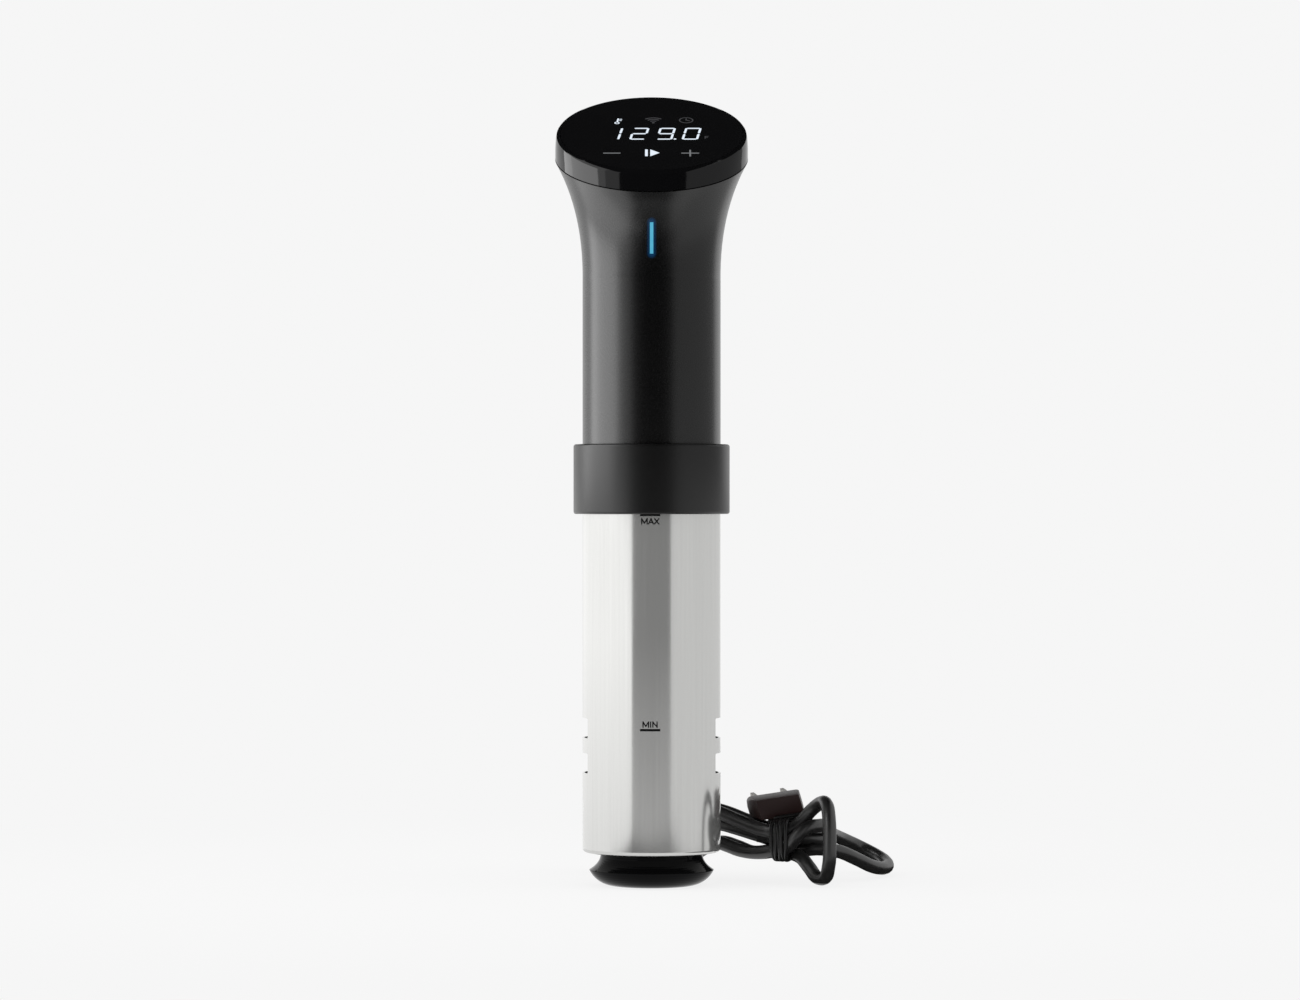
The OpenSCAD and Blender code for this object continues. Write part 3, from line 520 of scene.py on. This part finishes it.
def makeTie():
    # soft wire wound round the bundle, with more turns under the plug and a flat end
    end = makeTieEnd()
    return joinPieces([wireThrough(windingPlaces(), tieLook["wire"], "winding"),
                       wireThrough(collarPlaces(), tieLook["wire"], "ringTurns"), end],
                      "tieWinding")


plugLook = {"merge": .01, "flat": 2, "sharp": 35, "bevel": .7, "smooth": 40}


def copyNode(nodeName, name, merge):
    # a copy of a solid's mesh, with the corners that its faces share merged
    copy = bpy.data.objects.new(name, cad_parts[nodeName].data.copy())
    bpy.context.scene.collection.objects.link(copy)
    pick(copy)
    bpy.ops.mesh.customdata_custom_splitnormals_clear()
    bpy.ops.object.mode_set(mode="EDIT")
    bpy.ops.mesh.select_all(action="SELECT")
    bpy.ops.mesh.remove_doubles(threshold=merge * mm)
    bpy.ops.object.mode_set(mode="OBJECT")
    return copy


def makePlug():
    # the moulded plug with its edges rounded
    plug = copyNode("plug_body", "plugMoulding", plugLook["merge"])
    bpy.ops.object.mode_set(mode="EDIT")
    bpy.ops.mesh.select_all(action="SELECT")
    bpy.ops.mesh.dissolve_limited(angle_limit=math.radians(plugLook["flat"]))
    bpy.ops.mesh.select_all(action="DESELECT")
    bpy.ops.mesh.select_mode(type="EDGE")
    bpy.ops.mesh.edges_select_sharp(sharpness=math.radians(plugLook["sharp"]))
    bpy.ops.mesh.bevel(offset=plugLook["bevel"] * mm, segments=3, affect="EDGES",
                       clamp_overlap=True)
    bpy.ops.object.mode_set(mode="OBJECT")
    bpy.ops.object.shade_smooth_by_angle(angle=math.radians(plugLook["smooth"]))
    return settle(plug, "plugMoulding")


tieWinding = makeTie()
dress(tieWinding, finishes["tieBlack"])
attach(tieWinding, "housing")
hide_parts("cord_tie")
plugMoulding = makePlug()
dress(plugMoulding, finishes["plugBrown"])
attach(plugMoulding, "housing")
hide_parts("plug_body")
powerLead, leadLength = makeCord()
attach(powerLead, "housing")
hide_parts("power_cord", "cord_hank", "plug_tail")
print("cord made, length", round(leadLength, 4))


studioLook = {
    "background": .921,
    "diffuseLevel": .5,
    "floorSize": 12.0,
    "floorColour": .8,
    "keepShadow": .2,
    "shadowReach": (.1, .45),
    "shadowFill": .47,
    "boxes": {
        "leftBox": {"place": (-1.3, -.35, .7), "size": (1.5, 1.6), "radiance": 1.15},
        "rightBox": {"place": (1.3, -.35, .7), "size": (1.5, 1.6), "radiance": .5},
    },
    "boxAim": (0, 0, .2),
    # cards that only reflections see: a tone, or the tones at the floor and from "fade" up
    "fade": .095,
    "cards": {
        "leftCard": {"place": (-1.3, -.05, .35), "aim": (0, -.05, .35), "size": (1.5, 2),
                     "tone": 2.6},
        "rimCard": {"place": (-1.2, .42, .4), "aim": (0, 0, .4), "size": (.42, 1.9),
                    "tone": 3.2},
        "frontCard": {"place": (.05, -1.5, .3), "aim": (.05, 0, .3), "size": (2.07, 5.5),
                      "tone": .003},
        "midCard": {"place": (-1.37, -1.5, .3), "aim": (-1.37, 0, .3), "size": (.77, 5.5),
                    "tone": .5},
        "rightCard": {"place": (1.3, -.45, .5), "aim": (0, -.45, .5), "size": (3, 4.5),
                      "tone": .3},
        "topCard": {"place": (0, .95, 1.45), "aim": (0, 0, .3), "size": (2.6, 2),
                    "tone": .01},
        "overCard": {"place": (0, -.5, 2.6), "aim": (0, 0, .3), "size": (2.4, 2.4),
                     "tone": .01},
        "nearFront": {"place": (-.006, -.25, .08), "aim": (-.006, 0, .08), "size": (.29, .16),
                      "tone": (.43, .17)},
        "nearLeft": {"place": (-.151, .05, .08), "aim": (0, .05, .08), "size": (.6, .16),
                     "tone": (.9, 1.15)},
        "nearRight": {"place": (.145, .05, .08), "aim": (0, .05, .08), "size": (.6, .16),
                      "tone": .66},
        # without an aim, a card lies on the floor and faces up
        "footFloor": {"place": (0, 0, .0012), "size": (.2, .2), "tone": .75},
        "frontFloor": {"place": (0, -.36, .0008), "size": (.34, .6), "tone": .01},
        "farFloor": {"place": (0, -1.15, .0006), "size": (1.3, 1), "tone": .01},
        "leftFloor": {"place": (-.57, -.1, .0004), "size": (.8, 1.1), "tone": 1.9},
        "cordFloor": {"place": (.104, .03, .0016), "size": (.115, .16), "tone": .015},
        "rightFloor": {"place": (.77, -.2, .0004), "size": (1.2, 2.2), "tone": .5},
    },
}


def aimAt(thing, target):
    direction = Vector(target) - thing.location
    thing.rotation_euler = direction.to_track_quat("-Z", "Y").to_euler()


def makeWorld():
    world = bpy.data.worlds.new("studioWorld")
    bpy.context.scene.world = world
    world.use_nodes = True
    nodes, links = world.node_tree.nodes, world.node_tree.links
    background = nodes["Background"]
    background.inputs["Color"].default_value = (1, 1, 1, 1)
    rays = nodes.new("ShaderNodeLightPath")
    seen = None
    for ray in ("Is Camera Ray", "Is Glossy Ray", "Is Transmission Ray"):
        if seen is None:
            seen = rays.outputs[ray]
            continue
        either = nodes.new("ShaderNodeMath")
        either.operation = "MAXIMUM"
        links.new(seen, either.inputs[0])
        links.new(rays.outputs[ray], either.inputs[1])
        seen = either.outputs[0]
    level = nodes.new("ShaderNodeMapRange")
    level.inputs["To Min"].default_value = studioLook["diffuseLevel"]
    level.inputs["To Max"].default_value = studioLook["background"]
    links.new(seen, level.inputs["Value"])
    links.new(level.outputs["Result"], background.inputs["Strength"])


def makeFloor():
    # pale paper that keeps a little of its shadow, and less of it further out
    clearSelection()
    bpy.ops.mesh.primitive_plane_add(size=studioLook["floorSize"], location=(0, 0, 0))
    floor = settle(bpy.context.object, "studioFloor")
    material, nodes, links, shader = shaderNodes("floorPaper")
    nodes.remove(shader)
    tone = studioLook["background"]
    paper = studioLook["floorColour"]
    glow = nodes.new("ShaderNodeEmission")
    glow.inputs["Color"].default_value = (tone, tone, tone, 1)
    matt = nodes.new("ShaderNodeBsdfDiffuse")
    matt.inputs["Color"].default_value = (paper, paper, paper, 1)
    fill = nodes.new("ShaderNodeEmission")
    fill.inputs["Strength"].default_value = studioLook["shadowFill"]
    filled = nodes.new("ShaderNodeAddShader")
    links.new(matt.outputs["BSDF"], filled.inputs[0])
    links.new(fill.outputs["Emission"], filled.inputs[1])
    mix = nodes.new("ShaderNodeMixShader")
    place = nodes.new("ShaderNodeTexCoord")
    reach = nodes.new("ShaderNodeVectorMath")
    reach.operation = "LENGTH"
    fade = nodes.new("ShaderNodeMapRange")
    fade.interpolation_type = "SMOOTHSTEP"
    fade.inputs["From Min"].default_value = studioLook["shadowReach"][0]
    fade.inputs["From Max"].default_value = studioLook["shadowReach"][1]
    fade.inputs["To Min"].default_value = studioLook["keepShadow"]
    fade.inputs["To Max"].default_value = 0
    links.new(place.outputs["Object"], reach.inputs[0])
    links.new(reach.outputs["Value"], fade.inputs["Value"])
    links.new(fade.outputs["Result"], mix.inputs["Fac"])
    links.new(glow.outputs["Emission"], mix.inputs[1])
    links.new(filled.outputs["Shader"], mix.inputs[2])
    links.new(mix.outputs["Shader"], nodes["Material Output"].inputs["Surface"])
    material.cycles.emission_sampling = "NONE"
    dress(floor, material)


def makeCard(name, look):
    clearSelection()
    bpy.ops.mesh.primitive_plane_add(size=1, location=look["place"])
    card = bpy.context.object
    card.scale = (look["size"][0], look["size"][1], 1)
    aimAt(card, look.get("aim", (*look["place"][:2], 1)))
    settle(card, name)
    material, nodes, links, shader = shaderNodes(name + "Paper")
    nodes.remove(shader)
    glow = nodes.new("ShaderNodeEmission")
    if isinstance(look["tone"], tuple):
        place = nodes.new("ShaderNodeTexCoord")
        axes = nodes.new("ShaderNodeSeparateXYZ")
        links.new(place.outputs["Object"], axes.inputs["Vector"])
        links.new(spreadTo(nodes, links, axes.outputs["Z"], *look["tone"], 0, studioLook["fade"]),
                  glow.inputs["Strength"])
    else:
        glow.inputs["Strength"].default_value = look["tone"]
    links.new(glow.outputs["Emission"], nodes["Material Output"].inputs["Surface"])
    material.cycles.emission_sampling = "NONE"
    dress(card, material)
    card.visible_camera = False
    card.visible_diffuse = False
    card.visible_shadow = False
    card.visible_transmission = False


def makeBox(name, box):
    data = bpy.data.lights.new(name, "AREA")
    data.shape = "RECTANGLE"
    data.size, data.size_y = box["size"]
    data.energy = box["radiance"] * math.pi * box["size"][0] * box["size"][1]
    lamp = bpy.data.objects.new(name, data)
    bpy.context.scene.collection.objects.link(lamp)
    lamp.location = box["place"]
    lamp.visible_glossy = False
    aimAt(lamp, studioLook["boxAim"])


makeWorld()
makeFloor()
for cardName, look in studioLook["cards"].items():
    makeCard(cardName, look)
for boxName, box in studioLook["boxes"].items():
    makeBox(boxName, box)
bpy.context.scene.view_settings.view_transform = "Standard"
print("studio made")


displayLook = {
    # the glass: its height where it crosses the part's middle, its tilt and the marks' rise over it
    "height": 306.7, "tilt": 28, "lift": .52, "thick": .06, "ringFlatness": .12,
    # seven-segment readout: what it says, each digit's middle, and its strokes
    "readout": {"1": -15.7, "2": -5, "9": 5.85, "0": 16.35},
    "cell": 6.7, "tall": 11.9, "stroke": .92, "gap": .16, "cut": .45, "slant": 8, "drop": -.7,
    "dot": {"x": 9.5, "size": 1.1, "cut": .3},
}
segmentsOn = {"0": "abcdef", "1": "bc", "2": "abged", "9": "abcdfg"}

# strokes of the other marks: a bar's length, width, x, y, turn and corner cut; a ring's radius,
# stroke, x, y and, for an arc, its spread; an arrow's reach, rise, x and y
markLooks = {
    # minus and plus, dim, with the bright start key between them
    "stepKeys": {"finish": "keyGrey", "strokes": [
        ("bar", 7.1, .7, -16.1, -20.4, 0, .3), ("bar", 7.3, .7, 15.6, -20.4, 0, .3),
        ("bar", 6.6, .7, 15.6, -20.4, 90, .3)]},
    "startKey": {"finish": "digitWhite", "strokes": [
        ("arrow", 2.5, 3.9, .7, -20.1), ("bar", 6.6, 1.1, -2.1, -20.1, 90, .15)]},
    # a thermometer
    "heatIcon": {"finish": "digitWhite", "strokes": [
        ("ring", .85, .5, -14.2, 10.4), ("bar", 3.9, .7, -13.9, 13, 84, .3),
        ("bar", 1.2, .45, -12.7, 14.2, 0, .2), ("bar", 1, .45, -12.8, 12.8, 0, .2)]},
    # radio waves, a clock and a small unit letter
    "dimIcons": {"finish": "iconGrey", "strokes": [
        ("ring", 2, .75, .7, 10.4, 38), ("ring", 3.6, .75, .7, 10.4, 38),
        ("ring", 5.2, .75, .7, 10.4, 38), ("bar", 1.2, 1.2, .7, 10.6, 0, .35),
        ("ring", 2.7, .55, 14.2, 13.2), ("bar", 1.9, .5, 14.2, 14, 90, .2),
        ("bar", 1.7, .5, 14.9, 13, -25, .2),
        ("bar", 2.4, .4, 21.8, -4.5, 90, .2), ("bar", 1.4, .4, 22.5, -3.4, 0, .2),
        ("bar", 1.1, .4, 22.4, -4.6, 0, .2)]},
}


def onGlass(piece):
    # from the flat of the display, x right and y up, to its place on the tilted glass
    tilt = Matrix.Rotation(math.radians(displayLook["tilt"]), 4, "X")
    piece.data.transform(Matrix.Translation(point(0, 0, displayLook["height"])) @ tilt
                         @ Matrix.Translation(point(0, 0, displayLook["lift"])))
    return piece


def bar(length, width, x, y, turn, cut):
    # a flat stroke whose ends are slanted by a share of its width
    clearSelection()
    bpy.ops.mesh.primitive_cube_add(size=1, location=point(x, y, displayLook["thick"] / 2),
                                    rotation=(0, 0, math.radians(turn)))
    piece = bpy.context.object
    piece.scale = point(length, width, displayLook["thick"])
    bpy.ops.object.transform_apply(location=False, rotation=False, scale=True)
    upright = [edge.index for edge in piece.data.edges
               if abs(piece.data.vertices[edge.vertices[0]].co.z
                      - piece.data.vertices[edge.vertices[1]].co.z) > displayLook["thick"] / 2 * mm]
    bpy.ops.object.mode_set(mode="EDIT")
    bpy.ops.mesh.select_mode(type="EDGE")
    bpy.ops.mesh.select_all(action="DESELECT")
    bpy.ops.object.mode_set(mode="OBJECT")
    for index in upright:
        piece.data.edges[index].select = True
    bpy.ops.object.mode_set(mode="EDIT")
    bpy.ops.mesh.bevel(offset=width * cut * mm, segments=1, affect="EDGES")
    bpy.ops.object.mode_set(mode="OBJECT")
    return settle(piece, "stroke")


def ring(radius, stroke, x, y, spread=None):
    # a flat ring, or the upper part of it between two slopes
    clearSelection()
    bpy.ops.mesh.primitive_torus_add(major_radius=radius * mm, minor_radius=stroke / 2 * mm,
                                     major_segments=40, minor_segments=8, location=(0, 0, 0))
    piece = bpy.context.object
    if spread:
        slope = math.radians(spread)
        bpy.ops.object.mode_set(mode="EDIT")
        for side in (-1, 1):
            bpy.ops.mesh.select_all(action="SELECT")
            bpy.ops.mesh.bisect(plane_co=(0, 0, 0),
                                plane_no=(side * math.cos(slope), -math.sin(slope), 0),
                                use_fill=True, clear_outer=True)
        bpy.ops.object.mode_set(mode="OBJECT")
    piece.scale = (1, 1, displayLook["ringFlatness"])
    piece.location = point(x, y, displayLook["thick"] / 2)
    return settle(piece, "ringStroke")


def arrow(reach, rise, x, y):
    # a flat triangle that points right
    clearSelection()
    bpy.ops.mesh.primitive_cylinder_add(vertices=3, radius=1, depth=1, location=(0, 0, 0),
                                        rotation=(0, 0, math.radians(-90)))
    piece = bpy.context.object
    bpy.ops.object.transform_apply(location=False, rotation=True, scale=False)
    piece.scale = point(reach, rise, displayLook["thick"])
    piece.location = point(x, y, displayLook["thick"] / 2)
    return settle(piece, "arrow")


def slantedDigit(figure, middle):
    wide, half, stroke = displayLook["cell"], displayLook["tall"] / 2, displayLook["stroke"]
    reach, gap = wide / 2 - stroke / 2, displayLook["gap"]
    upright = half - stroke / 2 - gap * 2
    flat = wide - stroke - gap * 2
    places = {"a": (flat, 0, half - stroke / 2, 0), "g": (flat, 0, 0, 0),
              "d": (flat, 0, -half + stroke / 2, 0),
              "b": (upright, reach, half / 2, 90), "c": (upright, reach, -half / 2, 90),
              "e": (upright, -reach, -half / 2, 90), "f": (upright, -reach, half / 2, 90)}
    strokes = []
    for segment in segmentsOn[figure]:
        length, x, y, turn = places[segment]
        strokes.append(bar(length, stroke, x, y, turn, displayLook["cut"]))
    digit = joinPieces(strokes, "digit" + figure)
    lean = math.tan(math.radians(displayLook["slant"]))
    for vertex in digit.data.vertices:
        vertex.co.x += vertex.co.y * lean + middle * mm
        vertex.co.y += displayLook["drop"] * mm
    return digit


def addOn(piece, material, body="housing"):
    dress(piece, finishes[material])
    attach(piece, body)


def makeReadout():
    digits = [slantedDigit(figure, middle) for figure, middle in displayLook["readout"].items()]
    dot = displayLook["dot"]
    low = (dot["size"] - displayLook["tall"]) / 2 + displayLook["drop"]
    digits.append(bar(dot["size"], dot["size"], dot["x"], low, 0, dot["cut"]))
    addOn(onGlass(joinPieces(digits, "readout")), "digitWhite")


def makeMark(name, look):
    shapes = {"bar": bar, "ring": ring, "arrow": arrow}
    strokes = [shapes[shape](*numbers) for shape, *numbers in look["strokes"]]
    addOn(onGlass(joinPieces(strokes, name)), look["finish"])


makeReadout()
for markName, look in markLooks.items():
    makeMark(markName, look)
print("display marks made")


levelLook = {
    "radius": 28.2, "proud": .03, "thick": .04, "middle": -.6,
    "marks": {"MIN": {"line": 64.7, "words": 66.95}, "MAX": {"line": 151.3, "words": 148.7}},
    "capHeight": 2.5, "stroke": .48, "lineLong": 8.2, "lineWide": .95, "lineCuts": 9,
}

# each letter's width, side space and strokes, the strokes as shares of its width and height
letterShapes = {
    "M": {"wide": 2.2, "side": .35,
          "strokes": [(0, 0, 0, 1), (0, 1, .5, .15), (.5, .15, 1, 1), (1, 0, 1, 1)]},
    "I": {"wide": 0, "side": .5, "strokes": [(0, 0, 0, 1)]},
    "N": {"wide": 1.7, "side": .4, "strokes": [(0, 0, 0, 1), (0, 1, 1, 0), (1, 0, 1, 1)]},
    "A": {"wide": 1.9, "side": .25, "strokes": [(0, 0, .5, 1), (.5, 1, 1, 0), (.25, .3, .75, .3)]},
    "X": {"wide": 1.7, "side": .25, "strokes": [(0, 0, 1, 1), (0, 1, 1, 0)]},
}


def wrapOn(piece):
    # bends the flat marks round the tube's front
    for vertex in piece.data.vertices:
        around = vertex.co.x / (levelLook["radius"] * mm)
        out = levelLook["radius"] * mm + levelLook["proud"] * mm + vertex.co.y
        vertex.co = Vector((out * math.sin(around), -out * math.cos(around), vertex.co.z))
    return piece


def levelStroke(start, end):
    # a square-ended stroke between two places in the flat of the marks, x right and y up
    along = end - start
    middle = (start + end) / 2
    clearSelection()
    bpy.ops.mesh.primitive_cube_add(size=1, location=point(middle.x, 0, middle.y),
                                    rotation=(0, -math.atan2(along.y, along.x), 0))
    stroke = bpy.context.object
    stroke.scale = point(along.length + levelLook["stroke"], levelLook["thick"],
                         levelLook["stroke"])
    return settle(stroke, "levelStroke")


def levelWords(words, height):
    shapes = [letterShapes[letter] for letter in words]
    rise = levelLook["capHeight"] - levelLook["stroke"]
    left = levelLook["middle"] - sum(shape["wide"] + 2 * shape["side"] for shape in shapes) / 2
    strokes = []
    for shape in shapes:
        corner = Vector((left + shape["side"], height - rise / 2))
        for x1, y1, x2, y2 in shape["strokes"]:
            start = corner + Vector((x1 * shape["wide"], y1 * rise))
            end = corner + Vector((x2 * shape["wide"], y2 * rise))
            strokes.append(levelStroke(start, end))
        left += shape["wide"] + 2 * shape["side"]
    return strokes


def levelLine(height):
    clearSelection()
    bpy.ops.mesh.primitive_cube_add(size=1, location=point(levelLook["middle"], 0, height))
    line = bpy.context.object
    line.scale = point(levelLook["lineLong"], levelLook["thick"], levelLook["lineWide"])
    bpy.ops.object.mode_set(mode="EDIT")
    bpy.ops.mesh.subdivide(number_cuts=levelLook["lineCuts"])
    bpy.ops.object.mode_set(mode="OBJECT")
    return settle(line, "levelLine")


def makeLevel(words, place):
    marks = joinPieces([levelLine(place["line"])] + levelWords(words, place["words"]),
                       "level" + words.title())
    addOn(wrapOn(marks), "markInk", "skirt")


for words, place in levelLook["marks"].items():
    makeLevel(words, place)
print("level marks made")


smoothLook = {"merge": .002, "angle": 24}


def smoothCopy(nodeName, name):
    # the same moulding with its facets shaded as the smooth surface they stand for
    copy = copyNode(nodeName, name, smoothLook["merge"])
    bpy.ops.object.shade_smooth_by_angle(angle=math.radians(smoothLook["angle"]))
    settle(copy, name)
    dress(copy, finishes[nodeFinish[nodeName]])
    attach(copy, "housing")
    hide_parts(nodeName)


smoothCopy("handle_shell", "handleMoulding")
smoothCopy("bezel_ring", "bezelMoulding")
print("mouldings smoothed")
